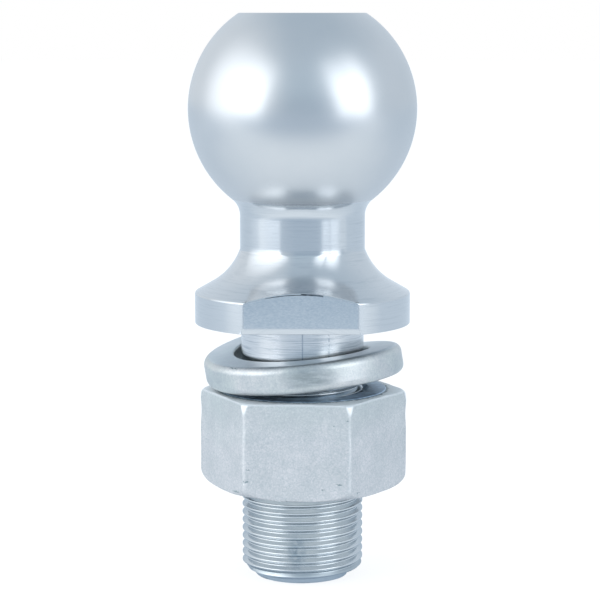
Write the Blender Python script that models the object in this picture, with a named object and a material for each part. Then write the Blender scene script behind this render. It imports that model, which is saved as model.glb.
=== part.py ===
"""Threaded tow ball: a forged ball stud, its split spring washer and its hexagon nut.

The origin is the middle of the shank's end face, with +Z up towards the ball, so the part stands on its
shank. Lengths are in metres. Azimuths are in degrees, counted from +X towards +Y.
"""

import math

import bmesh
import bpy
from mathutils import Matrix

# Ball and neck
BALL_DIAMETER = 0.05874
CROWN_CUT = 0.00497
CROWN_EDGE_RADIUS = 0.0008
BALL_RISE = 0.0550
NECK_DIAMETER = 0.0322
NECK_FILLET_RADIUS = 0.0055

# Flared flange with two wrench flats
FLANGE_DIAMETER = 0.0556
FLANGE_RIM_HEIGHT = 0.0079
FLANGE_TOP_EDGE = 0.0005
FLANGE_FOOT_EDGE = 0.0008
FLARE_CURVE_SHARE = 0.62
FLARE_TOP_ANGLE = 20.0
FLARE_CONE_ANGLE = 60.0
WRENCH_FLAT_DEPTH = 0.0040
WRENCH_FOOT_BEVEL_HEIGHT = 0.0015
WRENCH_FOOT_BEVEL_DEPTH = 0.0009
WRENCH_TURN = -1.0

# Shank, at the outer diameter of its thread
SHANK_DIAMETER = 0.03175
SHANK_LENGTH = 0.0666
SHANK_ROOT_RADIUS = 0.001
SHANK_END_CHAMFER_WIDTH = 0.0042
SHANK_END_CHAMFER_HEIGHT = 0.0032

# Hexagon nut
NUT_ACROSS_FLATS = 0.0469
NUT_HEIGHT = 0.0254
NUT_CORNER_RADIUS = 0.0012
NUT_BEARING_INSET = 0.00175
NUT_CHAMFER_ANGLE = 7.0
NUT_SHOULDER_RADIUS = 0.003
NUT_BORE_CLEARANCE = 0.0003
NUT_COUNTERSINK = 0.0011
NUT_BLANK_MARGIN = 0.0003
NUT_TURN = -4.0

# Split spring washer
WASHER_SECTION_WIDTH = 0.0082
WASHER_THICKNESS = 0.00725
WASHER_PLAY = 0.00045
WASHER_DRIFT = 0.00025
WASHER_OUTER_EDGE_RADIUS = 0.0020
WASHER_INNER_EDGE_RADIUS = 0.0005
WASHER_RISE = 0.0086
WASHER_SPLIT_GAP = 0.0026
WASHER_SPLIT_SLANT = 18.0
WASHER_SPLIT_AZIMUTH = 68.0
WASHER_TILT = 9.4
WASHER_SEAT_CLEARANCE = 0.0003

# From the washer's highest point up to the flange
GRIP_GAP = 0.00164

# Facets
TURNED_STEPS = 72
NUT_TURNED_STEPS = 60
WASHER_STEPS = 60
BALL_STEPS = 18
EDGE_STEPS = 2
FILLET_STEPS = 5
NUT_CORNER_STEPS = 3
WASHER_OUTER_EDGE_STEPS = 3
WASHER_INNER_EDGE_STEPS = 1
SHARP_ANGLE = math.radians(35.0)

# Cutters reach this far past what they cut.
OVERSHOOT = 0.004


def material(name, colour, roughness, metallic=1.0):
    """A plain metal, close to the photographed finish."""
    finish = bpy.data.materials.new(name)
    finish.use_nodes = True
    shader = finish.node_tree.nodes["Principled BSDF"]
    shader.inputs["Base Color"].default_value = (*colour, 1.0)
    shader.inputs["Roughness"].default_value = roughness
    shader.inputs["Metallic"].default_value = metallic
    return finish


def place(name, bm, finish=None, parent=None):
    """Turn a bmesh into a scene object with smooth shading across its shallow edges."""
    bmesh.ops.recalc_face_normals(bm, faces=bm.faces)
    mesh = bpy.data.meshes.new(name)
    bm.to_mesh(mesh)
    bm.free()
    mesh.shade_smooth()
    mesh.set_sharp_from_angle(angle=SHARP_ANGLE)
    if finish:
        mesh.materials.append(finish)
    obj = bpy.data.objects.new(name, mesh)
    obj.parent = parent
    bpy.context.scene.collection.objects.link(obj)
    return obj


def cut_with(target, cutter, operation):
    """Add an exact Boolean, and leave its cutter as a wire guide."""
    cutter.display_type = "WIRE"
    cutter.hide_render = True
    step = target.modifiers.new(cutter.name, "BOOLEAN")
    step.operation = operation
    step.object = cutter
    step.solver = "EXACT"


def arc(centre_r, centre_z, radius, start, end, steps):
    """Points of an arc in the (radius, height) plane, from angle start to angle end in radians."""
    angles = [start + (end - start) * i / steps for i in range(steps + 1)]
    return [(centre_r + radius * math.cos(a), centre_z + radius * math.sin(a)) for a in angles]


def turned(profile, steps, ring=False):
    """Revolve a (radius, height) profile about Z. A ring closes its profile, a rod ends in flat discs."""
    bm = bmesh.new()
    points = [bm.verts.new((r, 0.0, z)) for r, z in profile]
    ends = points[1:] + points[:1] if ring else points[1:]
    edges = [bm.edges.new(pair) for pair in zip(points, ends)]
    bmesh.ops.spin(bm, geom=points + edges, cent=(0, 0, 0), axis=(0, 0, 1),
                   angle=math.tau, steps=steps, use_merge=True)
    if not ring:
        bmesh.ops.holes_fill(bm, edges=[e for e in bm.edges if e.is_boundary], sides=0)
    return bm


def prism(outline, depth):
    """Extrude a closed outline in the (Y, Z) plane along X, centred on X = 0."""
    bm = bmesh.new()
    face = bm.faces.new([bm.verts.new((-depth / 2, y, z)) for y, z in outline])
    pushed = bmesh.ops.extrude_face_region(bm, geom=[face])["geom"]
    verts = [item for item in pushed if isinstance(item, bmesh.types.BMVert)]
    bmesh.ops.translate(bm, verts=verts, vec=(depth, 0, 0))
    return bm


def crown_and_ball(neck):
    """The flat crown, its rounded edge, the ball, and the fillet that runs into the neck."""
    radius = BALL_DIAMETER / 2
    centre = SHANK_LENGTH + BALL_RISE
    crown = radius - CROWN_CUT

    # The crown's edge is an arc that touches both the flat and the inside of the ball.
    edge_z = crown - CROWN_EDGE_RADIUS
    edge_r = math.sqrt((radius - CROWN_EDGE_RADIUS) ** 2 - edge_z ** 2)
    ball_top = math.atan2(edge_z, edge_r)
    points = arc(edge_r, centre + edge_z, CROWN_EDGE_RADIUS, math.pi / 2, ball_top, EDGE_STEPS)

    # The fillet touches the outside of the ball and the neck.
    fillet_r = neck + NECK_FILLET_RADIUS
    fillet_z = -math.sqrt((radius + NECK_FILLET_RADIUS) ** 2 - fillet_r ** 2)
    ball_foot = math.atan2(fillet_z, fillet_r)
    points += arc(0, centre, radius, ball_top, ball_foot, BALL_STEPS)[1:]
    points += arc(fillet_r, centre + fillet_z, NECK_FILLET_RADIUS,
                  ball_foot + math.pi, math.pi, FILLET_STEPS)[1:]
    return points


def flare_and_flange(neck):
    """From the crease under the neck: a hollow curve, a straight cone, the rim and the seat.

    The curve spans its share of the step from the neck out to the rim, and the cone spans the rest."""
    rim = FLANGE_DIAMETER / 2
    rim_top = SHANK_LENGTH + FLANGE_RIM_HEIGHT
    top_angle = math.radians(FLARE_TOP_ANGLE)
    cone_angle = math.radians(FLARE_CONE_ANGLE)

    curve = FLARE_CURVE_SHARE * (rim - neck) / (math.cos(top_angle) - math.cos(cone_angle))
    centre_r = neck + curve * math.cos(top_angle)
    foot_r = centre_r - curve * math.cos(cone_angle)
    foot_z = rim_top + (rim - foot_r) / math.tan(cone_angle)
    centre_z = foot_z + curve * math.sin(cone_angle)
    points = arc(centre_r, centre_z, curve, math.pi + top_angle, math.pi + cone_angle, FILLET_STEPS)

    bevel = FLANGE_TOP_EDGE
    points.append((rim - bevel * math.sin(cone_angle), rim_top + bevel * math.cos(cone_angle)))
    points.append((rim, rim_top - bevel))
    points += arc(rim - FLANGE_FOOT_EDGE, SHANK_LENGTH + FLANGE_FOOT_EDGE, FLANGE_FOOT_EDGE,
                  0, -math.pi / 2, EDGE_STEPS)
    return points


def shank():
    """The shank's root fillet, its straight side and its chamfered end."""
    radius = SHANK_DIAMETER / 2
    points = arc(radius + SHANK_ROOT_RADIUS, SHANK_LENGTH - SHANK_ROOT_RADIUS, SHANK_ROOT_RADIUS,
                 math.pi / 2, math.pi, EDGE_STEPS)
    points.append((radius, SHANK_END_CHAMFER_HEIGHT))
    points.append((radius - SHANK_END_CHAMFER_WIDTH, 0))
    return points


def wrench_flat_cutter(side):
    """A block whose inner face is one wrench flat, with the bevel along the flat's foot."""
    flat = FLANGE_DIAMETER / 2 - WRENCH_FLAT_DEPTH
    outer = FLANGE_DIAMETER / 2 + OVERSHOOT
    top = SHANK_LENGTH + FLANGE_RIM_HEIGHT + (outer - flat)
    foot = SHANK_LENGTH - OVERSHOOT
    slope = WRENCH_FOOT_BEVEL_DEPTH / WRENCH_FOOT_BEVEL_HEIGHT
    outline = [
        (flat, top),
        (outer, top),
        (outer, foot),
        (flat - WRENCH_FOOT_BEVEL_DEPTH - OVERSHOOT * slope, foot),
        (flat, SHANK_LENGTH + WRENCH_FOOT_BEVEL_HEIGHT),
    ]
    bm = prism(outline, 2 * outer)
    turn = Matrix.Rotation(math.radians(WRENCH_TURN + 180.0 * side), 4, "Z")
    bmesh.ops.transform(bm, matrix=turn, verts=bm.verts)
    return place(f"wrench_flat_cutter_{side}", bm)


def make_ball_stud(finish):
    """Ball, neck, flange and shank: one forging."""
    neck = NECK_DIAMETER / 2
    profile = crown_and_ball(neck) + flare_and_flange(neck) + shank()
    stud = place("ball_stud", turned(profile, TURNED_STEPS), finish)
    for side in range(2):
        cut_with(stud, wrench_flat_cutter(side), "DIFFERENCE")
    return stud


def nut_corner():
    """Distance from the nut's axis to its rounded corners."""
    sharp = NUT_ACROSS_FLATS / 2 / math.cos(math.pi / 6)
    return sharp - NUT_CORNER_RADIUS * (1 / math.cos(math.pi / 6) - 1)


def nut_bearing():
    """Radius of the nut's flat bearing faces."""
    return NUT_ACROSS_FLATS / 2 - NUT_BEARING_INSET


def nut_end(bore):
    """Half of the turned form, from the bore's countersink to the widest radius, with z measured up
    from the middle of the nut."""
    half = NUT_HEIGHT / 2
    slope = math.radians(NUT_CHAMFER_ANGLE)
    widest = nut_corner() + NUT_BLANK_MARGIN
    shoulder_r = widest - NUT_SHOULDER_RADIUS
    touch_r = shoulder_r + NUT_SHOULDER_RADIUS * math.sin(slope)
    touch_z = half - (touch_r - nut_bearing()) * math.tan(slope)
    shoulder_z = touch_z - NUT_SHOULDER_RADIUS * math.cos(slope)
    points = [(bore, half - NUT_COUNTERSINK), (bore + NUT_COUNTERSINK, half), (nut_bearing(), half)]
    points += arc(shoulder_r, shoulder_z, NUT_SHOULDER_RADIUS, math.pi / 2 - slope, 0, FILLET_STEPS)
    return points


def hexagon_prism():
    """The nut's six sides with rounded corners, taller than the nut."""
    bm = bmesh.new()
    sharp = NUT_ACROSS_FLATS / 2 / math.cos(math.pi / 6)
    bmesh.ops.create_circle(bm, cap_ends=True, segments=6, radius=sharp)
    tall = NUT_HEIGHT + 2 * OVERSHOOT
    turn = Matrix.Rotation(math.radians(NUT_TURN + 90.0), 4, "Z")
    bmesh.ops.transform(bm, matrix=Matrix.Translation((0, 0, -tall / 2)) @ turn, verts=bm.verts)
    pushed = bmesh.ops.extrude_face_region(bm, geom=bm.faces[:])["geom"]
    verts = [item for item in pushed if isinstance(item, bmesh.types.BMVert)]
    bmesh.ops.translate(bm, verts=verts, vec=(0, 0, tall))
    uprights = [e for e in bm.edges if abs(e.verts[0].co.z - e.verts[1].co.z) > tall / 2]
    setback = NUT_CORNER_RADIUS * math.tan(math.pi / 6)
    bmesh.ops.bevel(bm, geom=uprights, offset=setback, offset_type="OFFSET",
                    segments=NUT_CORNER_STEPS, profile=0.5, affect="EDGES", material=-1)
    return bm


def make_hex_nut(finish, parent):
    """A turned ring with coned, rounded ends and countersinks, trimmed to six sides."""
    bore = SHANK_DIAMETER / 2 + NUT_BORE_CLEARANCE
    top = nut_end(bore)
    bottom = [(r, -z) for r, z in reversed(top)]
    nut = place("hex_nut", turned(top + bottom, NUT_TURNED_STEPS, ring=True), finish, parent)
    sides = place("hexagon_cutter", hexagon_prism(), parent=parent)
    for obj in (nut, sides):
        obj.location.z = NUT_HEIGHT / 2
    cut_with(nut, sides, "INTERSECT")
    return nut


def round_corners(bm, corners, radius, steps):
    """Round some corners of a flat outline."""
    bmesh.ops.bevel(bm, geom=corners, offset=radius, offset_type="OFFSET", segments=steps,
                    profile=0.5, affect="VERTICES", material=-1)


def washer_section(bore):
    """The washer's section as one face in the XZ plane, with its mid-height at z = 0."""
    bm = bmesh.new()
    half = WASHER_THICKNESS / 2
    outer = bore + WASHER_SECTION_WIDTH
    corners = [(bore, -half), (outer, -half), (outer, half), (bore, half)]
    bm.faces.new([bm.verts.new((x, 0, z)) for x, z in corners])
    middle = (bore + outer) / 2
    round_corners(bm, [v for v in bm.verts if v.co.x > middle],
                  WASHER_OUTER_EDGE_RADIUS, WASHER_OUTER_EDGE_STEPS)
    round_corners(bm, [v for v in bm.verts if v.co.x < middle],
                  WASHER_INNER_EDGE_RADIUS, WASHER_INNER_EDGE_STEPS)

    # The ends of the split lean over, so the section is sheared along the sweep.
    lean = math.tan(math.radians(WASHER_SPLIT_SLANT))
    for vert in bm.verts:
        vert.co.y = vert.co.z * lean
    return bm


def nut_top_at(radius):
    """Height of the nut's top face above its foot, at this radius."""
    fall = max(0.0, radius - nut_bearing()) * math.tan(math.radians(NUT_CHAMFER_ANGLE))
    return NUT_HEIGHT - fall


def make_lock_washer(finish, parent):
    """A left-hand helix of one turn, open at its split. It leans on the nut with its +X side raised."""
    tilt = math.radians(WASHER_TILT)
    reach = SHANK_DIAMETER / 2 + WASHER_DRIFT + WASHER_PLAY + WASHER_THICKNESS / 2 * math.sin(tilt)
    bore = reach / math.cos(tilt)
    sweep = math.tau - WASHER_SPLIT_GAP / (bore + WASHER_SECTION_WIDTH / 2)

    bm = washer_section(bore)
    bmesh.ops.spin(bm, geom=bm.verts[:] + bm.edges[:] + bm.faces[:], cent=(0, 0, 0), axis=(0, 0, 1),
                   dvec=(0, 0, -WASHER_RISE / WASHER_STEPS), angle=sweep, steps=WASHER_STEPS)

    # The high end starts just past the split.
    start = math.radians(WASHER_SPLIT_AZIMUTH) + (math.tau - sweep) / 2
    lean = Matrix.Translation((WASHER_DRIFT, 0, 0)) @ Matrix.Rotation(-tilt, 4, "Y")
    pose = lean @ Matrix.Rotation(start, 4, "Z") @ Matrix.Translation((0, 0, WASHER_RISE / 2))
    bmesh.ops.transform(bm, matrix=pose, verts=bm.verts)

    lift = max(nut_top_at(math.hypot(v.co.x, v.co.y)) - v.co.z for v in bm.verts)
    washer = place("lock_washer", bm, finish, parent)
    washer.location.z = lift + WASHER_SEAT_CLEARANCE
    return washer


def build():
    for obj in list(bpy.data.objects):
        bpy.data.objects.remove(obj, do_unlink=True)

    # The nut carries the washer, and both travel along the thread with this empty.
    nut_travel = bpy.data.objects.new("nut_travel", None)
    bpy.context.scene.collection.objects.link(nut_travel)

    make_ball_stud(material("bright_zinc", (0.62, 0.67, 0.73), 0.26))
    make_hex_nut(material("matte_zinc", (0.60, 0.65, 0.68), 0.42), nut_travel)
    washer = make_lock_washer(material("satin_zinc", (0.60, 0.64, 0.66), 0.34), nut_travel)

    washer_top = washer.location.z + max(v.co.z for v in washer.data.vertices)
    nut_travel.location.z = SHANK_LENGTH - GRIP_GAP - washer_top


build()
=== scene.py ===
"""Looks of the threaded tow ball: a bright zinc ball stud, a satin spring washer and a forged nut.

Shapes are worked in millimetres and made metres when each piece is finished. Azimuths are in degrees,
counted from +X towards +Y. The origin is the middle of the shank's end, with +Z up to the ball.
"""

import math

import bmesh
import bpy
from mathutils import Matrix, Vector, noise


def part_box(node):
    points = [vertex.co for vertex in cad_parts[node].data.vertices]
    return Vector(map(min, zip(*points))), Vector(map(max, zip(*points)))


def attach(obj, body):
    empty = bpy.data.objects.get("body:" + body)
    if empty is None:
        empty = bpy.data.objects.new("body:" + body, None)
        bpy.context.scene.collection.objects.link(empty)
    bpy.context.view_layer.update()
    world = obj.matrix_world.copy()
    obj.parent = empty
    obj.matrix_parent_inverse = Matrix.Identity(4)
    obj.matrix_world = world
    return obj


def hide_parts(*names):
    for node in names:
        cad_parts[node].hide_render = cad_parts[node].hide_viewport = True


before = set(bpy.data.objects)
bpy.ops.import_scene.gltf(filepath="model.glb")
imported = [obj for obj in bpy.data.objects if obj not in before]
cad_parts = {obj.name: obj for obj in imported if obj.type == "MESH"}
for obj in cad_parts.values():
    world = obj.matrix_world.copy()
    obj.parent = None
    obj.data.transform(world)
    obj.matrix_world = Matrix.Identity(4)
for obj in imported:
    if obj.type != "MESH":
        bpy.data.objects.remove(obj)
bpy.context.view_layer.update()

# Ball and neck
BALL_RADIUS = 29.33
BALL_CENTRE = 121.6
CROWN_TOP = 146.0
CROWN_EDGE = 0.9
BALL_FOOT = 98.6
NECK_RADIUS = 16.1
NECK_FILLET = 5.5

# Flange: concave flare, cone, rim and two wrench flats
SEAT = 66.6
RIM_RADIUS = 27.8
RIM_TOP = 74.5
RIM_EDGE = 0.7
FLARE_CURVE = 16.5
FLARE_TOP_ANGLE = math.radians(20.0)
FLARE_CONE_ANGLE = math.radians(60.0)
FLAT_DISTANCE = 23.8
FLAT_FOOT_HEIGHT = 1.65
FLAT_FOOT_DEPTH = 0.45
FLAT_TURN = math.radians(-1.0)
FLANGE_EDGE = 0.34
SEAT_EDGE = 0.14

# Painted shadow of a burr along the top of the front flat: its span in x, where it thickens, and the lean of
# the edge's faces that hold it, as the cosine of their angle from the flat
BURR_SHADOW_SPAN = (-9.5, 5.3)
BURR_SHADOW_THICK_FROM = -0.1
BURR_SHADOW_START = 0.985
BURR_SHADOW_THIN = 0.9
BURR_SHADOW_THICK = 0.8

# Shank and its right-hand thread, twelve to the inch
SHANK_RADIUS = 15.875
ROOT_FILLET = 1.0
PITCH = 25.4 / 12
THREAD_CREST = 15.72
THREAD_DEPTH = 1.12
THREAD_TOP = 58.5
THREAD_FADE = 3.2
THREAD_PHASE = 0.28
END_CONE = ((0.0, 11.7), (0.3, 12.1), (1.5, 12.7), (2.1, 14.7), (2.7, 15.3), (3.2, 15.75), (3.8, 16.0))
END_DRIFT = 0.25
THREAD_SMUDGE = (-1.4, -15.5, 9.2)

# Hexagon nut
NUT_FOOT = 24.011
NUT_HEIGHT = 25.4
NUT_FLAT = 23.45
NUT_TURN = math.radians(-4.0)
NUT_BEARING = 21.7
NUT_MOUTH = 17.3
NUT_THREAD_GAP = 0.09
NUT_THREAD_DEPTH = 1.22
NUT_CONE_RINGS = (22.3, 22.8, 23.3, 23.8)
NUT_GATHER = 0.12
NUT_UNEVEN = 0.16
NUT_WAIST = 0.22
NUT_WAIST_DEPTH = 7.0
NUT_WAIST_REACH = 3.2
NUT_OFF_CENTRE = 0.18
NUT_LOW_FOOT = 0.5
NUT_TRIM = 160

# Nicks, as (x, y, z, radius)
NUT_NICKS = ((-17.4, -18.7, 25.6, 0.42), (-16.6, -19.1, 25.8, 0.42), (-13.7, -22.5, 32.1, 0.26),
             (-14.3, -22.4, 29.0, 0.3), (9.3, -24.1, 28.6, 0.42), (5.2, -23.9, 27.3, 0.34),
             (14.0, -20.5, 26.0, 0.3), (8.1, -24.0, 43.5, 0.26), (11.3, -24.2, 44.9, 0.26))

# Spring washer
WASHER_BORE = 17.4
WASHER_WIDTH = 8.2
WASHER_THICKNESS = 7.25
WASHER_RISE = 8.6
WASHER_TILT = math.radians(9.4)
WASHER_SPLIT = math.radians(68.0)
WASHER_GAP = 2.6
WASHER_SLANT = math.radians(18.0)
WASHER_DRIFT = 0.25
WASHER_OUTER_ROUND = 2.0
WASHER_INNER_ROUND = 0.55
WASHER_END_EDGE = 0.3
WASHER_PATCH = (2.0, -25.5, 55.8)
WASHER_NICKS = ((-17.7, -18.2, 57.1, 0.35), (-16.9, -18.8, 57.2, 0.3))

# Mesh columns round each turned skin, and steps along the washer's coil
COLUMNS = 192
NUT_COLUMNS = 288
NUT_THREAD_COLUMNS = 144
WASHER_STEPS = 240

# Finishes of the ball stud and of the nut, in the order in which their meshes hold them
BALL, TURNED, MILLED, THREADED, BURR_SHADOW = range(5)
FORGED, NUT_THREADED, BEARING_SHADE = range(3)

MM = 0.001

# Studio, in metres and degrees
FLOOR_GLOW = 0.8
PANEL_DISTANCE = 1.2
PANEL_AIM_HEIGHT = 0.11
SENSOR_WIDTH = 36.0
IMAGE_WIDTH_PIXELS = 600
FOCAL_LENGTH_PIXELS = 2152.9
CAMERA_PLACE = (0.0, -0.553, 0.146)
CAMERA_PITCH = -7.6
CAMERA_PAN = 0.066


def smoothstep(low, high, value):
    share = min(1.0, max(0.0, (value - low) / (high - low)))
    return share * share * (3 - 2 * share)


def along(points, value):
    """Read a broken line given as (position, value) pairs."""
    for (x0, y0), (x1, y1) in zip(points, points[1:]):
        if value <= x1:
            return y0 + (y1 - y0) * max(0.0, (value - x0) / (x1 - x0))
    return points[-1][1]


def arc(centre_r, centre_z, radius, start, end, steps):
    """Points of an arc in the (radius, height) plane."""
    angles = [start + (end - start) * i / steps for i in range(steps + 1)]
    return [(centre_r + radius * math.cos(a), centre_z + radius * math.sin(a)) for a in angles]


def rows(start, end, count):
    """Evenly spaced (radius, height) points after start, up to and with end."""
    (r0, z0), (r1, z1) = start, end
    return [(r0 + (r1 - r0) * i / count, z0 + (z1 - z0) * i / count) for i in range(1, count + 1)]


def spun(profile, columns, climb=0.0):
    """Revolve an open profile once about Z. A climb makes it a helical skin that joins up with itself.

    The columns start half a column off +X, which keeps them clear of the wrench flats' upright edges.
    """
    bm = bmesh.new()
    points = [bm.verts.new((r, 0.0, z)) for r, z in profile]
    edges = [bm.edges.new(pair) for pair in zip(points, points[1:])]
    bmesh.ops.spin(bm, geom=points + edges, cent=(0, 0, 0), axis=(0, 0, 1), dvec=(0, 0, climb / columns),
                   angle=math.tau, steps=columns, use_merge=climb == 0.0)
    bmesh.ops.remove_doubles(bm, verts=bm.verts, dist=0.001)
    bmesh.ops.rotate(bm, cent=(0, 0, 0), matrix=Matrix.Rotation(math.pi / columns, 3, "Z"), verts=bm.verts)
    return bm


def add_mesh(bm, other):
    """Move the other mesh's geometry into bm."""
    carrier = bpy.data.meshes.new("carrier")
    other.to_mesh(carrier)
    other.free()
    bm.from_mesh(carrier)
    bpy.data.meshes.remove(carrier)


def trim(bm, height, keep_above):
    """Cut a skin level at a height, and keep one side of the cut."""
    bmesh.ops.bisect_plane(bm, geom=bm.verts[:] + bm.edges[:] + bm.faces[:], dist=0.0005,
                           plane_co=(0, 0, height), plane_no=(0, 0, 1),
                           clear_outer=not keep_above, clear_inner=keep_above)


def open_edges(bm, low, high):
    """Boundary edges between two heights."""
    return [e for e in bm.edges if e.is_boundary and all(low <= v.co.z <= high for v in e.verts)]


def thread_profile(low, high, crest, depth):
    """Rows of a sixty-degree thread, eight to each turn. The nut's is a little wider and deeper."""
    shape = ((-0.105, 0.07), (-0.06, 0.0), (0.06, 0.0), (0.105, 0.07),
             (0.41, 0.94), (0.45, 1.0), (0.55, 1.0), (0.59, 0.94))
    first = math.floor(low / PITCH) - 2
    last = math.ceil(high / PITCH) + 1
    points = []
    for turn in range(first, last + 1):
        for place, share in shape:
            points.append((crest - depth * share, (turn + place + THREAD_PHASE) * PITCH))
    return points


def finish_piece(bm, name, body, node, materials, choose=None):
    """Scale to metres, give each face its finish, and put the piece on its body in place of its node."""
    bmesh.ops.recalc_face_normals(bm, faces=bm.faces)
    bmesh.ops.scale(bm, vec=(MM, MM, MM), verts=bm.verts)
    if choose:
        for face in bm.faces:
            face.material_index = choose(face)
    mesh = bpy.data.meshes.new(name)
    bm.to_mesh(mesh)
    bm.free()
    for polygon in mesh.polygons:
        polygon.use_smooth = polygon.loop_total <= 4
    mesh.set_sharp_from_angle(angle=math.radians(50.0))
    for finish in materials:
        mesh.materials.append(finish)
    piece = bpy.data.objects.new(name, mesh)
    bpy.context.scene.collection.objects.link(piece)
    even = piece.modifiers.new("even_normals", "WEIGHTED_NORMAL")
    even.keep_sharp = True
    even.weight = 60
    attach(piece, body)
    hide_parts(node)
    return piece


# Ball stud

def crown_ball_neck():
    """From the middle of the crown, over the ball, down to the crease under the neck."""
    crown = CROWN_TOP - BALL_CENTRE
    edge_z = crown - CROWN_EDGE
    edge_r = math.sqrt((BALL_RADIUS - CROWN_EDGE) ** 2 - edge_z ** 2)
    ball_top = math.atan2(edge_z, edge_r)
    points = [(0.0, CROWN_TOP)] + rows((0.0, CROWN_TOP), (edge_r, CROWN_TOP), 6)
    points += arc(edge_r, BALL_CENTRE + edge_z, CROWN_EDGE, math.pi / 2, ball_top, 6)[1:]
    fillet_r = NECK_RADIUS + NECK_FILLET
    fillet_z = -math.sqrt((BALL_RADIUS + NECK_FILLET) ** 2 - fillet_r ** 2)
    ball_foot = math.atan2(fillet_z, fillet_r)
    points += arc(0, BALL_CENTRE, BALL_RADIUS, ball_top, ball_foot, 64)[1:]
    points += arc(fillet_r, BALL_CENTRE + fillet_z, NECK_FILLET, ball_foot + math.pi, math.pi, 12)[1:]
    points += rows(points[-1], (NECK_RADIUS, flare_points()[0][1]), 6)
    return points


def flare_points():
    """The concave curve and the cone under it, down to the rim's top edge."""
    spread = math.cos(FLARE_CONE_ANGLE)
    centre_r = NECK_RADIUS + FLARE_CURVE * math.cos(FLARE_TOP_ANGLE)
    foot_r = centre_r - FLARE_CURVE * spread
    foot_z = RIM_TOP + (RIM_RADIUS - foot_r) / math.tan(FLARE_CONE_ANGLE)
    centre_z = foot_z + FLARE_CURVE * math.sin(FLARE_CONE_ANGLE)
    points = arc(centre_r, centre_z, FLARE_CURVE, math.pi + FLARE_TOP_ANGLE, math.pi + FLARE_CONE_ANGLE, 22)
    lift = RIM_EDGE * math.tan(FLARE_CONE_ANGLE / 2)
    return points + arc(RIM_RADIUS - RIM_EDGE, RIM_TOP - lift, RIM_EDGE, FLARE_CONE_ANGLE, 0.0, 6)


def cut_face(bm, place, direction):
    """Cut everything beyond a plane off, and close the cut with one face."""
    cut = bmesh.ops.bisect_plane(bm, geom=bm.verts[:] + bm.edges[:] + bm.faces[:], dist=0.0005,
                                 plane_co=place, plane_no=direction, clear_outer=True)["geom_cut"]
    edges = [item for item in cut if isinstance(item, bmesh.types.BMEdge) and item.is_boundary]
    bmesh.ops.contextual_create(bm, geom=edges)


def flange():
    """The flange as an open skin from the crease to just under the seat, with its flats and soft edges."""
    seat_inner = SHANK_RADIUS + ROOT_FILLET
    profile = flare_points() + [(RIM_RADIUS, SEAT), (seat_inner, SEAT)]
    profile += arc(seat_inner, SEAT - ROOT_FILLET, ROOT_FILLET, math.pi / 2, math.pi, 4)[1:]
    bm = spun(profile, COLUMNS)
    for side in (0.0, math.pi):
        turn = Matrix.Rotation(FLAT_TURN + side, 3, "Z")
        cut_face(bm, turn @ Vector((0, FLAT_DISTANCE, 0)), turn @ Vector((0, 1, 0)))
        foot = Vector((0, FLAT_DISTANCE, SEAT + FLAT_FOOT_HEIGHT))
        tilt = Vector((0, FLAT_FOOT_HEIGHT, -FLAT_FOOT_DEPTH))
        cut_face(bm, turn @ foot, turn @ tilt.normalized())
    softened = ((SEAT_EDGE, SEAT - 0.01, SEAT + 0.01), (FLANGE_EDGE, SEAT + 0.4, CROWN_TOP))
    for offset, lowest, highest in softened:
        edges = [e for e in bm.edges if len(e.link_faces) == 2 and e.calc_face_angle() > math.radians(24)
                 and lowest < max(v.co.z for v in e.verts) < highest
                 and math.hypot(*e.verts[0].co.xy) > seat_inner + 1]
        bmesh.ops.bevel(bm, geom=edges, offset=offset, offset_type="OFFSET", segments=3, profile=0.5,
                        affect="EDGES", clamp_overlap=False, material=-1)
    return bm


def threaded_end():
    """The threaded skin from the shank's end to above the thread's fade."""
    bm = spun(thread_profile(-PITCH, THREAD_TOP + PITCH, THREAD_CREST, THREAD_DEPTH), COLUMNS, PITCH)
    for vert in bm.verts:
        r, z = math.hypot(*vert.co.xy), vert.co.z
        fade = smoothstep(0.0, THREAD_FADE, THREAD_TOP - z)
        wanted = min(SHANK_RADIUS - (SHANK_RADIUS - r) * fade, along(END_CONE, z))
        vert.co.xy *= wanted / r
        vert.co.x -= END_DRIFT * smoothstep(3.0, 0.5, z)
    trim(bm, 0.0, keep_above=True)
    trim(bm, THREAD_TOP + 0.5, keep_above=False)
    bmesh.ops.contextual_create(bm, geom=open_edges(bm, -0.1, 0.1))
    return bm


def make_ball_stud(finishes):
    """Ball and neck, flange and thread, joined to one closed skin."""
    bm = spun(crown_ball_neck(), COLUMNS)
    add_mesh(bm, flange())
    bmesh.ops.remove_doubles(bm, verts=bm.verts, dist=0.001)
    add_mesh(bm, threaded_end())
    bmesh.ops.bridge_loops(bm, edges=open_edges(bm, THREAD_TOP, SEAT))

    flat_out = Matrix.Rotation(FLAT_TURN, 3, "Z") @ Vector((0, 1, 0))

    def region(face):
        middle = face.calc_center_median() / MM
        r, z = math.hypot(*middle.xy), middle.z
        if z > BALL_FOOT:
            return BALL
        if z < THREAD_TOP:
            return THREADED
        leaning = face.normal @ flat_out
        if r > NECK_RADIUS + 2 and abs(leaning) > 0.99 and z > SEAT + 1:
            return MILLED
        # Faces of the edge under the front flat's top take the burr's painted shadow.
        burr_shadow_end = BURR_SHADOW_THICK if middle.x > BURR_SHADOW_THICK_FROM else BURR_SHADOW_THIN
        on_edge = r > FLAT_DISTANCE - 1 and z > RIM_TOP + 1 and burr_shadow_end < -leaning < BURR_SHADOW_START
        if on_edge and BURR_SHADOW_SPAN[0] < middle.x < BURR_SHADOW_SPAN[1]:
            return BURR_SHADOW
        return TURNED

    return finish_piece(bm, "ball_stud_forging", "ball_stud", "ball_stud", finishes, region)


# Nut

def soft_hexagon(azimuth, sharpness):
    """Distance from the axis to a hexagon with rounded corners."""
    total = 0.0
    for side in range(6):
        lean = math.cos(azimuth - NUT_TURN - math.radians(30.0) - math.radians(60.0) * side)
        total += max(0.0, lean) ** sharpness
    return NUT_FLAT / total ** (1 / sharpness)


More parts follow.
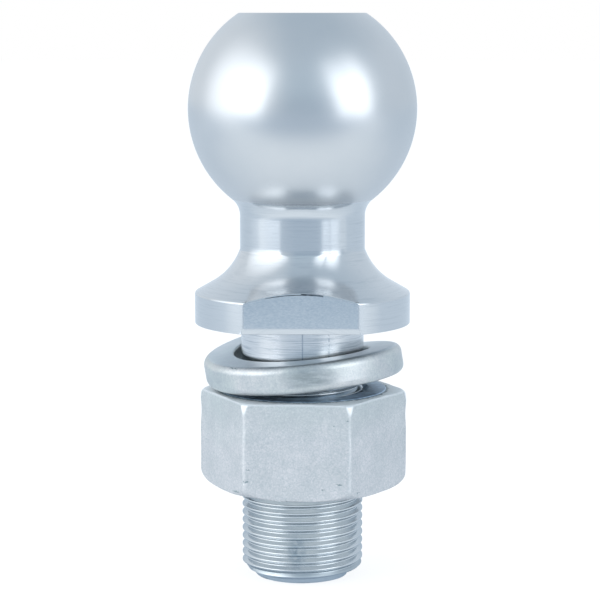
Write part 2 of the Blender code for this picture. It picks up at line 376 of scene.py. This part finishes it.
def nut_end(step, slope, shoulder, widest):
    """Radius and depth of one end of the turned blank: a bearing ring, a slight cone and a round shoulder."""
    slope = math.radians(slope)
    ring = NUT_BEARING + 0.2
    points = [(NUT_MOUTH + 0.6, 0.0), (NUT_BEARING - 2.1, 0.0), (NUT_BEARING - 0.25, 0.0),
              (NUT_BEARING - 0.07, 0.15 * step), (NUT_BEARING, 0.35 * step),
              (NUT_BEARING + 0.08, 0.75 * step), (ring, step)]
    centre = widest - shoulder
    reach = centre + shoulder * math.sin(slope)
    points += [(r, step + (r - ring) * math.tan(slope)) for r in NUT_CONE_RINGS if r < reach]
    drop = step + (reach - ring) * math.tan(slope) + shoulder * math.cos(slope)
    points += [(r, drop - z) for r, z in arc(centre, 0.0, shoulder, math.pi / 2 - slope, 0.0, 16)]
    return points


def nut_outside():
    """Outer skin of the nut, turned first and then pressed to its six sides."""
    top = NUT_FOOT + NUT_HEIGHT
    upper = [(r, top - z) for r, z in nut_end(step=0.35, slope=3.8, shoulder=2.2, widest=27.4)]
    lower = [(r, NUT_FOOT + z) for r, z in nut_end(step=0.08, slope=3.0, shoulder=3.9, widest=27.2)]
    bm = spun(upper + rows(upper[-1], lower[-1], 52)[:-1] + lower[::-1], NUT_COLUMNS)
    corner_highlight = bm.verts.layers.float.new("corner_highlight")

    # Columns are drawn together at the corners, where the shape turns fastest, and the blank is forged
    # a little out of true: a slight waist, a low left foot, uneven faces and a hair off centre.
    for vert in bm.verts:
        r, z = math.hypot(*vert.co.xy), vert.co.z
        azimuth = math.atan2(vert.co.y, vert.co.x)
        azimuth -= NUT_GATHER * math.sin(6 * (azimuth - NUT_TURN))
        height, depth = z - NUT_FOOT, top - z
        end = min(height, depth)
        corner = soft_hexagon(azimuth, 90 - 45 * smoothstep(3.5, 0.5, end))
        uneven = noise.noise(Vector((azimuth * 5, z * 0.22, 3.1))) * NUT_UNEVEN
        waist = -NUT_WAIST * math.exp(-((depth - NUT_WAIST_DEPTH) / NUT_WAIST_REACH) ** 2)
        share = smoothstep(NUT_BEARING, 24.0, r)
        side = corner + (uneven + waist) * smoothstep(0.5, 4.0, end)
        wanted = (r ** -NUT_TRIM + side ** -NUT_TRIM) ** (-1 / NUT_TRIM)
        vert.co.x = wanted * math.cos(azimuth) + NUT_OFF_CENTRE * share
        vert.co.y = wanted * math.sin(azimuth)
        # Painted highlights along the corners, strongest near the top, kept for the finish to lighten.
        narrow = 0.972 + 0.02 * smoothstep(0.6, 3.4, depth)
        edge = smoothstep(narrow, narrow + 0.008, math.cos(6 * (azimuth - NUT_TURN)))
        vert[corner_highlight] = edge * smoothstep(0.6, 1.0, end) * (0.12 + 0.88 * smoothstep(4.0, 2.2, depth))
        left = max(0.0, -vert.co.x) / 27.0
        vert.co.z += NUT_LOW_FOOT * left * share * smoothstep(9.0, 0.0, height)
    return bm


def nut_inside():
    """Thread in the nut's bore, in mesh with the shank's, opened out by a cone at each end."""
    top = NUT_FOOT + NUT_HEIGHT
    crest = SHANK_RADIUS + NUT_THREAD_GAP
    profile = thread_profile(NUT_FOOT - PITCH, top + PITCH, crest, NUT_THREAD_DEPTH)
    bm = spun(profile, NUT_THREAD_COLUMNS, PITCH)
    for vert in bm.verts:
        r, z = math.hypot(*vert.co.xy), vert.co.z
        from_end = min(top - z, z - NUT_FOOT)
        vert.co.xy *= max(r, NUT_MOUTH - max(0.0, from_end)) / r
    trim(bm, NUT_FOOT, keep_above=True)
    trim(bm, top, keep_above=False)
    return bm


def make_hex_nut(finishes):
    """Outer skin and threaded bore, closed at both ends by flat rings."""
    bm = nut_outside()
    add_mesh(bm, nut_inside())
    top = NUT_FOOT + NUT_HEIGHT
    for height in (NUT_FOOT, top):
        bmesh.ops.bridge_loops(bm, edges=open_edges(bm, height - 0.02, height + 0.02))

    def region(face):
        middle = face.calc_center_median() / MM
        r = math.hypot(*middle.xy)
        # The top bearing face and the mouth's cone take the painted shade of the gap under the washer.
        if NUT_MOUTH - 1 < r < NUT_BEARING + 0.05 and face.normal.z > 0.3:
            return BEARING_SHADE
        return NUT_THREADED if r < NUT_MOUTH else FORGED

    return finish_piece(bm, "forged_nut", "hex_nut", "hex_nut", finishes, region)


# Washer

def washer_section():
    """The section as one face in the XZ plane, its mid-height at z = 0 and its ends leaning."""
    bm = bmesh.new()
    half = WASHER_THICKNESS / 2
    outer = WASHER_BORE + WASHER_WIDTH
    corners = [(WASHER_BORE, -half), (outer, -half), (outer, half), (WASHER_BORE, half)]
    bm.faces.new([bm.verts.new((x, 0, z)) for x, z in corners])
    middle = WASHER_BORE + WASHER_WIDTH / 2
    outside = [v for v in bm.verts if v.co.x > middle]
    inside = [v for v in bm.verts if v.co.x < middle]
    for chosen, rounding, steps in ((outside, WASHER_OUTER_ROUND, 9), (inside, WASHER_INNER_ROUND, 4)):
        bmesh.ops.bevel(bm, geom=chosen, offset=rounding, offset_type="OFFSET", segments=steps,
                        profile=0.5, affect="VERTICES", material=-1)
    for vert in bm.verts:
        vert.co.y = vert.co.z * math.tan(WASHER_SLANT)
    return bm


def make_lock_washer(finishes):
    """The section carried down one turn of a coil, then tilted and set down on the nut."""
    sweep = math.tau - WASHER_GAP / (WASHER_BORE + WASHER_WIDTH / 2)
    bm = washer_section()
    bmesh.ops.spin(bm, geom=bm.verts[:] + bm.edges[:] + bm.faces[:], cent=(0, 0, 0), axis=(0, 0, 1),
                   dvec=(0, 0, -WASHER_RISE / WASHER_STEPS), angle=sweep, steps=WASHER_STEPS)
    start = WASHER_SPLIT + (math.tau - sweep) / 2
    lean = Matrix.Translation((WASHER_DRIFT, 0, 0)) @ Matrix.Rotation(-WASHER_TILT, 4, "Y")
    pose = lean @ Matrix.Rotation(start, 4, "Z") @ Matrix.Translation((0, 0, WASHER_RISE / 2))
    bmesh.ops.transform(bm, matrix=pose, verts=bm.verts)
    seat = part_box("lock_washer")[0].z / MM
    lift = seat - min(v.co.z for v in bm.verts)
    bmesh.ops.translate(bm, verts=bm.verts, vec=(0, 0, lift))
    ends = [e for e in bm.edges if len(e.link_faces) == 2 and e.calc_face_angle() > math.radians(50)]
    bmesh.ops.bevel(bm, geom=ends, offset=WASHER_END_EDGE, offset_type="OFFSET", segments=2, profile=0.5,
                    affect="EDGES", clamp_overlap=False, material=-1)
    return finish_piece(bm, "spring_washer", "lock_washer", "lock_washer", finishes)


# Finishes

class Nodes:
    """Short calls for building one material's or the world's node tree."""

    def __init__(self, tree):
        self.tree = tree

    def add(self, kind, **settings):
        node = self.tree.nodes.new(kind)
        for key, value in settings.items():
            setattr(node, key, value)
        return node

    def link(self, source, target):
        if isinstance(source, (int, float, tuple)):
            target.default_value = source
        else:
            self.tree.links.new(source, target)

    def maths(self, operation, *values):
        node = self.add("ShaderNodeMath", operation=operation)
        for socket, value in zip(node.inputs, values):
            self.link(value, socket)
        return node.outputs[0]

    def vector(self, operation, *values):
        node = self.add("ShaderNodeVectorMath", operation=operation)
        for socket, value in zip(node.inputs, values):
            self.link(value, socket)
        return node.outputs["Value" if operation == "LENGTH" else "Vector"]

    def split(self, vector):
        node = self.add("ShaderNodeSeparateXYZ")
        self.link(vector, node.inputs[0])
        return node.outputs

    def from_axis(self, place):
        return self.vector("LENGTH", self.vector("MULTIPLY", place, (1.0, 1.0, 0.0)))

    def noise(self, vector, scale, detail=3.0, roughness=0.55):
        node = self.add("ShaderNodeTexNoise")
        self.link(vector, node.inputs["Vector"])
        node.inputs["Scale"].default_value = scale
        node.inputs["Detail"].default_value = detail
        node.inputs["Roughness"].default_value = roughness
        return node.outputs["Fac"]

    def colour_noise(self, vector, scale):
        node = self.add("ShaderNodeTexNoise")
        self.link(vector, node.inputs["Vector"])
        node.inputs["Scale"].default_value = scale
        return node.outputs["Color"]

    def ranged(self, value, low, high, to_low=0.0, to_high=1.0):
        node = self.add("ShaderNodeMapRange")
        for socket, item in zip(node.inputs, (value, low, high, to_low, to_high)):
            self.link(item, socket)
        return node.outputs[0]

    def blend(self, share, first, second):
        node = self.add("ShaderNodeMix", data_type="RGBA")
        self.link(share, node.inputs["Factor"])
        self.link(first, node.inputs["A"])
        self.link(second, node.inputs["B"])
        return node.outputs["Result"]

    def bump(self, height, distance, strength=1.0, below=None):
        node = self.add("ShaderNodeBump")
        node.inputs["Distance"].default_value = distance
        node.inputs["Strength"].default_value = strength
        self.link(height, node.inputs["Height"])
        if below is not None:
            self.link(below, node.inputs["Normal"])
        return node.outputs["Normal"]


def rgba(red, green, blue):
    return (red, green, blue, 1.0)


def metres(place):
    """A place given in millimetres, as Object coordinates have it."""
    return tuple(value * MM for value in place)


def new_finish(name, metallic=1.0, anisotropic=0.0):
    """An empty metal finish: the tree's helper, its shader and its Object coordinates."""
    finish = bpy.data.materials.new(name)
    finish.use_nodes = True
    nodes = Nodes(finish.node_tree)
    shader = finish.node_tree.nodes["Principled BSDF"]
    shader.inputs["Metallic"].default_value = metallic
    shader.inputs["Anisotropic"].default_value = anisotropic
    place = nodes.add("ShaderNodeTexCoord").outputs["Object"]
    return finish, nodes, shader, place


def ring_place(nodes, place, stretch):
    """Coordinates that change fast across turned rings and slowly along them."""
    split = nodes.split(place)
    meridian = nodes.maths("MULTIPLY_ADD", nodes.from_axis(place), 1.3, split["Z"])
    joined = nodes.add("ShaderNodeCombineXYZ")
    nodes.link(split["X"], joined.inputs[0])
    nodes.link(split["Y"], joined.inputs[1])
    nodes.link(nodes.maths("MULTIPLY", meridian, stretch), joined.inputs[2])
    return joined.outputs[0]


def up_the_side(nodes):
    """Direction up the turned side, across the rings, for the stretched gloss of a turned surface."""
    facing = nodes.add("ShaderNodeNewGeometry").outputs["Normal"]
    around = nodes.vector("CROSS_PRODUCT", (0.0, 0.0, 1.0), facing)
    return nodes.vector("CROSS_PRODUCT", facing, around)


def tinted(nodes, shader, share, dark, light):
    """Base colour between two tones."""
    nodes.link(nodes.blend(share, rgba(*dark), rgba(*light)), shader.inputs["Base Color"])


def nicks(nodes, place, spots):
    """A share that falls to nought in small uneven nicks on the front, given as (x, y, z, radius) in mm."""
    ragged = nodes.maths("SUBTRACT", nodes.noise(place, 2200.0, 3.0, 0.7), 0.5)
    ragged = nodes.maths("MULTIPLY", ragged, 0.0022)
    clear = 1.0
    for x, y, z, radius in spots:
        offset = nodes.vector("SUBTRACT", place, metres((x, y, z)))
        away = nodes.vector("LENGTH", nodes.vector("MULTIPLY", offset, (0.6, 0.2, 1.7)))
        spot = nodes.ranged(nodes.maths("ADD", away, ragged), radius * MM * 0.5, radius * MM)
        clear = nodes.maths("MULTIPLY", clear, spot)
    return clear


def bright_ball_zinc():
    """Bright zinc on the ground ball, faintly clouded."""
    finish, nodes, shader, place = new_finish("bright_ball_zinc")
    cloud = nodes.ranged(nodes.noise(place, 55.0, 4.0), 0.35, 0.65)
    tinted(nodes, shader, cloud, (0.609, 0.629, 0.645), (0.637, 0.651, 0.663))
    gloss = nodes.ranged(nodes.noise(place, 700.0, 3.0), 0.3, 0.7, 0.295, 0.315)
    nodes.link(gloss, shader.inputs["Roughness"])
    nodes.link(nodes.bump(nodes.noise(place, 1500.0, 2.0), 0.00001, 0.05), shader.inputs["Normal"])
    return finish


def scored_lines(nodes, place, split):
    """Two thin upright lines scored on the front of the plain shank, the right one broken into dots."""
    around = nodes.maths("ARCTAN2", split["X"], nodes.maths("MULTIPLY", split["Y"], -1.0))
    dots = nodes.ranged(nodes.noise(place, 1100.0, 2.0), 0.45, 0.55)
    clear = 1.0
    for azimuth, broken in ((0.0, 0.3), (25.0, 1.0)):
        away = nodes.maths("ABSOLUTE", nodes.maths("SUBTRACT", around, math.radians(azimuth)))
        line = nodes.ranged(away, math.radians(0.3), math.radians(0.9))
        line = nodes.maths("MAXIMUM", line, nodes.maths("MULTIPLY", dots, broken))
        clear = nodes.maths("MULTIPLY", clear, line)
    return nodes.maths("MAXIMUM", clear, nodes.ranged(split["Z"], 0.0660, 0.0663))


def turned_zinc():
    """Neck, flare, rim and plain shank, with turning rings that are coarser below the flare, and painted
    light on the plain shank.
    """
    finish, nodes, shader, place = new_finish("turned_zinc", anisotropic=0.7)
    split = nodes.split(place)
    shank = nodes.ranged(split["Z"], 0.0663, 0.0668, 1.0, 0.0)
    coarse = nodes.ranged(shank, 0.0, 1.0, 0.2, 0.65)
    rings = nodes.noise(ring_place(nodes, place, 38.0), 80.0, 3.0, 0.7)
    lines = nodes.ranged(rings, 0.36, 0.5)
    shown = nodes.maths("MULTIPLY_ADD", nodes.maths("SUBTRACT", lines, 1.0), coarse, 1.0)
    shown = nodes.maths("MULTIPLY", shown, scored_lines(nodes, place, split))
    # Painted light: the plain shank takes a lighter tone than the neck and flare, to brighten its highlights.
    light = nodes.blend(shank, rgba(0.622, 0.646, 0.666), rgba(0.70, 0.712, 0.725))
    nodes.link(nodes.blend(shown, rgba(0.37, 0.42, 0.47), light), shader.inputs["Base Color"])
    nodes.link(nodes.ranged(rings, 0.3, 0.7, 0.20, 0.13), shader.inputs["Roughness"])
    nodes.link(nodes.bump(nodes.maths("MULTIPLY", rings, coarse), 0.00006, 0.6), shader.inputs["Normal"])
    nodes.link(up_the_side(nodes), shader.inputs["Tangent"])
    return finish


def milled_zinc():
    """Dull, grained zinc on the milled flats."""
    finish, nodes, shader, place = new_finish("milled_zinc")
    grain = nodes.noise(nodes.vector("MULTIPLY", place, (1.0, 1.0, 2.2)), 1500.0, 4.0, 0.65)
    share = nodes.ranged(grain, 0.35, 0.65)
    tinted(nodes, shader, share, (0.475, 0.54, 0.595), (0.595, 0.64, 0.68))
    nodes.link(nodes.ranged(grain, 0.3, 0.7, 0.3, 0.44), shader.inputs["Roughness"])
    nodes.link(nodes.bump(grain, 0.00006, 0.5), shader.inputs["Normal"])
    return finish


def burr_shadow_zinc():
    """Painted shadow of a burr: a near-black line along the top of the front flat."""
    finish, nodes, shader, place = new_finish("burr_shadow_zinc")
    cloud = nodes.noise(place, 900.0, 3.0)
    tinted(nodes, shader, nodes.ranged(cloud, 0.42, 0.6), (0.03, 0.04, 0.05), (0.2, 0.24, 0.28))
    nodes.link(nodes.ranged(cloud, 0.3, 0.7, 0.4, 0.6), shader.inputs["Roughness"])
    nodes.link(nodes.bump(cloud, 0.00005, 0.5), shader.inputs["Normal"])
    return finish


def thread_zinc():
    """Glossy thread with a smudge low on the front, and the duller stub below it, with painted shade on the
    stub: lighter at its foot, darker on the band above.
    """
    finish, nodes, shader, place = new_finish("thread_zinc")
    shader.inputs["Specular Tint"].default_value = rgba(0.7, 0.74, 0.78)
    cloud = nodes.ranged(nodes.noise(place, 160.0, 4.0), 0.35, 0.65)
    fine = nodes.noise(place, 1400.0, 3.0)
    offset = nodes.vector("SUBTRACT", place, metres(THREAD_SMUDGE))
    offset = nodes.vector("MULTIPLY", offset, (1.0, 0.3, 0.55))
    smudge = nodes.ranged(nodes.vector("LENGTH", offset), 0.0006, 0.0028, 1.0, 0.0)
    specks = nodes.ranged(nodes.noise(place, 700.0, 3.0), 0.4, 0.55)
    smudge = nodes.maths("MULTIPLY", smudge, specks)
    tone = nodes.blend(cloud, rgba(0.62, 0.655, 0.675), rgba(0.68, 0.705, 0.715))
    tone = nodes.blend(smudge, tone, rgba(0.47, 0.53, 0.57))
    split = nodes.split(place)
    # Painted shade on the stub: its upper band is darkened for the shaded floor it reflects, over a lighter
    # foot.
    stub = nodes.ranged(split["Z"], 0.0032, 0.0042, 1.0, 0.0)
    end_shade_tone = nodes.blend(nodes.ranged(split["Z"], 0.0020, 0.0027),
                           rgba(0.70, 0.745, 0.765), rgba(0.50, 0.55, 0.58))
    nodes.link(nodes.blend(stub, tone, end_shade_tone), shader.inputs["Base Color"])
    gloss = nodes.ranged(fine, 0.3, 0.7, 0.14, 0.26)
    nodes.link(nodes.maths("MULTIPLY_ADD", stub, 0.16, gloss), shader.inputs["Roughness"])
    nodes.link(nodes.bump(fine, 0.00003, 0.35), shader.inputs["Normal"])
    return finish


def bearing_shade_zinc():
    """The nut's upper bearing face and the cone of its mouth, dull and darkened with painted shade, standing
    in for the shade under the washer.
    """
    finish, nodes, shader, place = new_finish("bearing_shade_zinc")
    cloud = nodes.noise(place, 500.0, 4.0, 0.6)
    # Painted shade: dark blue-grey tones for the shade between washer and nut.
    tinted(nodes, shader, nodes.ranged(cloud, 0.35, 0.65), (0.23, 0.315, 0.42), (0.47, 0.595, 0.72))
    nodes.link(nodes.ranged(cloud, 0.3, 0.7, 0.3, 0.45), shader.inputs["Roughness"])
    nodes.link(nodes.bump(cloud, 0.00006, 0.5), shader.inputs["Normal"])
    return finish


def forged_zinc():
    """Matte zinc on forged steel, green at the top and pinker below, finely crazed, with painted highlights
    on its corners, painted light on the top cone and a painted shade line beside the bearing ring.
    """
    finish, nodes, shader, place = new_finish("forged_zinc", metallic=0.85)
    split = nodes.split(place)
    cloud = nodes.noise(place, 130.0, 5.0, 0.6)
    grain = nodes.noise(place, 2300.0, 4.0, 0.7)
    height = nodes.ranged(split["Z"], 0.034, 0.05, -0.3, 0.3)
    green = nodes.ranged(nodes.maths("ADD", height, nodes.noise(place, 70.0, 3.0)), 0.3, 0.85)
    light = nodes.blend(green, rgba(0.79, 0.775, 0.785), rgba(0.685, 0.73, 0.72))
    both = nodes.maths("MULTIPLY_ADD", grain, 0.7, nodes.maths("MULTIPLY", cloud, 0.3))
    crazed = nodes.add("ShaderNodeTexVoronoi", feature="DISTANCE_TO_EDGE")
    bend = nodes.vector("MULTIPLY", nodes.colour_noise(place, 300.0), (0.002, 0.002, 0.002))
    bent = nodes.vector("ADD", place, bend)
    nodes.link(bent, crazed.inputs["Vector"])
    crazed.inputs["Scale"].default_value = 750.0
    lines = nodes.ranged(crazed.outputs["Distance"], 0.0, 0.12, 0.62, 1.0)
    scratches = nodes.noise(nodes.vector("MULTIPLY", bent, (1.0, 1.0, 1.9)), 1150.0, 2.0, 0.5)
    high = nodes.ranged(split["Z"], 0.040, 0.0475, 0.25, 1.0)
    scratches = nodes.maths("MULTIPLY", nodes.ranged(scratches, 0.56, 0.66, 0.0, 0.55), high)
    shown = nodes.maths("MULTIPLY", nodes.ranged(both, 0.34, 0.62), lines)
    shown = nodes.maths("MULTIPLY", shown, nodes.maths("SUBTRACT", 1.0, scratches))
    tone = nodes.blend(shown, rgba(0.53, 0.57, 0.585), light)
    corner_highlight = nodes.add("ShaderNodeAttribute", attribute_name="corner_highlight").outputs["Fac"]
    # Painted highlight: the corners are lightened almost to white.
    tone = nodes.blend(corner_highlight, tone, rgba(0.97, 0.975, 0.98))
    clear = nicks(nodes, place, NUT_NICKS)
    tone = nodes.blend(clear, rgba(0.3, 0.37, 0.39), tone)
    # Painted light: the top cone round the bearing ring is lightened and made less metallic, as if lit from
    # above.
    cone = nodes.ranged(split["Z"], 0.0482, 0.0487)
    tone = nodes.blend(nodes.maths("MULTIPLY", cone, 0.7), tone, rgba(0.88, 0.92, 0.94))
    # Painted shade: a dark uneven band on the top, just outside the bearing ring.
    uneven = nodes.maths("MULTIPLY_ADD", nodes.noise(place, 900.0, 3.0), 0.0018, nodes.from_axis(place))
    ring_shade = nodes.maths("MULTIPLY", cone, nodes.ranged(uneven, 0.0229, 0.0234, 1.0, 0.0))
    nodes.link(nodes.blend(ring_shade, tone, rgba(0.17, 0.22, 0.25)), shader.inputs["Base Color"])
    nodes.link(nodes.ranged(cone, 0.0, 1.0, 0.85, 0.27), shader.inputs["Metallic"])
    nodes.link(nodes.ranged(grain, 0.3, 0.7, 0.46, 0.62), shader.inputs["Roughness"])
    rough = nodes.bump(nodes.noise(place, 420.0, 5.0, 0.65), 0.00025, 0.6)
    rough = nodes.bump(nodes.maths("MULTIPLY", lines, clear), 0.00012, 0.5, rough)
    nodes.link(nodes.bump(grain, 0.0001, 0.6, rough), shader.inputs["Normal"])
    return finish


def satin_zinc():
    """Satin zinc on spring steel, with a dark streaked patch at the front that is partly rub marks and partly
    painted reflection of the darker room in front, painted light on its up-facing top, and two nicks at its
    left.
    """
    finish, nodes, shader, place = new_finish("satin_zinc")
    cloud = nodes.noise(place, 110.0, 5.0, 0.6)
    grain = nodes.noise(place, 2000.0, 4.0, 0.65)
    streaks = nodes.noise(nodes.vector("MULTIPLY", place, (1.0, 1.0, 5.0)), 260.0, 4.0, 0.6)
    light = nodes.blend(nodes.ranged(nodes.noise(place, 75.0, 2.0), 0.4, 0.6),
                        rgba(0.69, 0.685, 0.685), rgba(0.65, 0.69, 0.67))
    both = nodes.maths("MULTIPLY_ADD", grain, 0.5, nodes.maths("MULTIPLY", cloud, 0.5))
    tone = nodes.blend(nodes.ranged(both, 0.38, 0.6), rgba(0.48, 0.52, 0.54), light)
    # Painted reflection with rub marks: a dark streaked patch on the front, for the darker room it faces.
    offset = nodes.vector("SUBTRACT", place, metres(WASHER_PATCH))
    offset = nodes.vector("MULTIPLY", offset, (1.0, 0.3, 2.2))
    patch = nodes.ranged(nodes.vector("LENGTH", offset), 0.0015, 0.0085, 1.0, 0.0)
    patch = nodes.maths("MULTIPLY", patch, nodes.ranged(streaks, 0.35, 0.6, 0.35, 1.0))
    tone = nodes.blend(patch, tone, rgba(0.33, 0.365, 0.375))
    # Painted light: faces that look up are lightened towards a pale blue.
    facing = nodes.split(nodes.add("ShaderNodeNewGeometry").outputs["Normal"])
    level = nodes.ranged(facing["Z"], 0.85, 0.97, 0.0, 0.4)
    tone = nodes.blend(level, tone, rgba(0.84, 0.93, 1.0))
    clear = nicks(nodes, place, WASHER_NICKS)
    nodes.link(nodes.blend(clear, rgba(0.25, 0.31, 0.33), tone), shader.inputs["Base Color"])
    nodes.link(nodes.ranged(grain, 0.3, 0.7, 0.35, 0.46), shader.inputs["Roughness"])
    nodes.link(nodes.bump(grain, 0.00006, 0.5), shader.inputs["Normal"])
    return finish


# Studio

def make_floor():
    """White where the camera looks. Metal sees it pale near the stud, blue in front and darkened by painted
    shade right at the stud's foot.
    """
    bm = bmesh.new()
    bmesh.ops.create_grid(bm, x_segments=1, y_segments=1, size=6.0)
    mesh = bpy.data.meshes.new("floor")
    bm.to_mesh(mesh)
    bm.free()
    floor = bpy.data.objects.new("floor", mesh)
    bpy.context.scene.collection.objects.link(floor)
    paper = bpy.data.materials.new("floor_paper")
    paper.use_nodes = True
    tree = paper.node_tree
    nodes = Nodes(tree)
    tree.nodes.remove(tree.nodes["Principled BSDF"])
    rays = nodes.add("ShaderNodeLightPath").outputs
    mirrored = nodes.maths("MAXIMUM", rays["Is Glossy Ray"], rays["Is Transmission Ray"])
    place = nodes.add("ShaderNodeTexCoord").outputs["Object"]
    split = nodes.split(place)
    tone = nodes.blend(nodes.ranged(split["Y"], -0.17, -0.38),
                       rgba(0.95, 1.02, 1.08), rgba(0.315, 0.425, 0.56))
    tone = nodes.blend(nodes.ranged(split["Y"], -0.6, -1.0), tone, rgba(0.45, 0.55, 0.67))
    from_stud = nodes.vector("LENGTH", place)
    beside = nodes.maths("MULTIPLY", nodes.ranged(split["Y"], -0.2, 0.0),
                         nodes.ranged(from_stud, 0.12, 0.35))
    behind = nodes.maths("MAXIMUM", beside, nodes.ranged(split["Y"], -0.12, 0.1))
    tone = nodes.blend(behind, tone, rgba(0.60, 0.70, 0.81))
    # Painted shade: the glow that metal sees darkens close round the stud's foot.
    tone = nodes.blend(nodes.ranged(from_stud, 0.0155, 0.036), rgba(0.38, 0.475, 0.60), tone)
    matte = nodes.add("ShaderNodeBsdfDiffuse")
    matte.inputs["Color"].default_value = rgba(0.3, 0.3, 0.3)
    glow = nodes.add("ShaderNodeEmission")
    nodes.link(nodes.blend(rays["Is Camera Ray"], tone, rgba(1.0, 1.0, 1.0)), glow.inputs["Color"])
    seen = nodes.maths("MAXIMUM", rays["Is Camera Ray"], mirrored)
    nodes.link(nodes.maths("MULTIPLY", seen, FLOOR_GLOW), glow.inputs["Strength"])
    both = nodes.add("ShaderNodeAddShader")
    nodes.link(matte.outputs[0], both.inputs[0])
    nodes.link(glow.outputs[0], both.inputs[1])
    nodes.link(both.outputs[0], tree.nodes["Material Output"].inputs["Surface"])
    mesh.materials.append(paper)


def make_world():
    """White where the camera looks. Metal sees a pale room, a little darker and bluer to the front."""
    world = bpy.data.worlds.new("studio")
    bpy.context.scene.world = world
    world.use_nodes = True
    tree = world.node_tree
    nodes = Nodes(tree)
    background = tree.nodes["Background"]
    split = nodes.split(nodes.add("ShaderNodeTexCoord").outputs["Generated"])
    front = nodes.ranged(nodes.maths("MULTIPLY", split["Y"], -1.0), -0.2, 0.85)
    rising = nodes.ranged(split["Z"], 0.02, 0.4)
    facing = nodes.blend(rising, rgba(0.44, 0.555, 0.68), rgba(0.61, 0.74, 0.86))
    walls = nodes.blend(front, rgba(0.755, 0.845, 0.94), facing)
    high = nodes.ranged(split["Z"], 0.5, 0.95)
    to_left = nodes.ranged(split["X"], -0.2, -0.6)
    walls = nodes.blend(high, walls, rgba(0.57, 0.68, 0.79))
    walls = nodes.blend(nodes.maths("MULTIPLY", to_left, 0.65), walls, rgba(0.95, 1.0, 1.05))
    rays = nodes.add("ShaderNodeLightPath").outputs
    nodes.link(nodes.blend(rays["Is Camera Ray"], walls, rgba(1.0, 1.0, 1.0)), background.inputs["Color"])
    background.inputs["Strength"].default_value = 1.0


def make_panel(name, azimuth, elevation, lean, width, height, radiance, inner, outer):
    """A soft panel. Azimuth 0 is the camera's side, positive to the right.

    It leans in its own plane, its top towards the camera's side. Inner and outer say how far in from its
    two upright edges it fades, as shares of its width. Inner is the edge nearer the camera.
    """
    side = 1 if azimuth > 0 else -1
    azimuth, elevation, lean = (math.radians(angle) for angle in (azimuth, elevation, lean))
    away = Vector((math.sin(azimuth) * math.cos(elevation), -math.cos(azimuth) * math.cos(elevation),
                   math.sin(elevation)))
    lamp = bpy.data.lights.new(name, "AREA")
    lamp.shape = "RECTANGLE"
    lamp.size = width
    lamp.size_y = height
    lamp.energy = radiance * math.pi * width * height
    lamp.use_nodes = True
    nodes = Nodes(lamp.node_tree)
    split = nodes.split(nodes.add("ShaderNodeNewGeometry").outputs["Parametric"])
    across, up = split["X"], split["Y"]
    left, right = (inner, outer) if side > 0 else (outer, inner)
    soft = [nodes.ranged(across, 0.0, left), nodes.ranged(across, 1.0, 1.0 - right),
            nodes.ranged(up, 0.0, 0.18), nodes.ranged(up, 1.0, 0.5)]
    glow = nodes.maths("MULTIPLY", nodes.maths("MULTIPLY", soft[0], soft[1]),
                       nodes.maths("MULTIPLY", soft[2], soft[3]))
    nodes.link(glow, lamp.node_tree.nodes["Emission"].inputs["Strength"])
    holder = bpy.data.objects.new(name, lamp)
    holder.location = Vector((0, 0, PANEL_AIM_HEIGHT)) + away * PANEL_DISTANCE
    holder.rotation_euler = (away.to_track_quat("Z", "Y").to_matrix()
                             @ Matrix.Rotation(side * lean, 3, "Z")).to_euler()
    bpy.context.scene.collection.objects.link(holder)


def make_camera():
    camera = bpy.data.cameras.new("camera")
    camera.sensor_width = SENSOR_WIDTH
    camera.lens = SENSOR_WIDTH * FOCAL_LENGTH_PIXELS / IMAGE_WIDTH_PIXELS
    camera.clip_start = 0.05
    holder = bpy.data.objects.new("camera", camera)
    holder.location = CAMERA_PLACE
    holder.rotation_euler = (math.radians(90.0 + CAMERA_PITCH), 0.0, math.radians(CAMERA_PAN))
    bpy.context.scene.collection.objects.link(holder)
    bpy.context.scene.camera = holder


bpy.context.scene.view_settings.view_transform = "Standard"
make_camera()
make_floor()
make_world()
make_panel("left_panel", azimuth=-77.0, elevation=23.0, lean=3.0, width=2.06, height=1.6,
           radiance=1.58, inner=0.05, outer=0.7)
make_panel("right_front_panel", azimuth=37.5, elevation=21.5, lean=12.0, width=0.42, height=1.5,
           radiance=1.69, inner=0.35, outer=0.02)
make_panel("right_side_panel", azimuth=64.0, elevation=21.5, lean=0.0, width=0.56, height=1.5,
           radiance=1.78, inner=0.02, outer=0.5)

thread = thread_zinc()
make_ball_stud([bright_ball_zinc(), turned_zinc(), milled_zinc(), thread, burr_shadow_zinc()])
make_hex_nut([forged_zinc(), thread, bearing_shade_zinc()])
make_lock_washer([satin_zinc()])
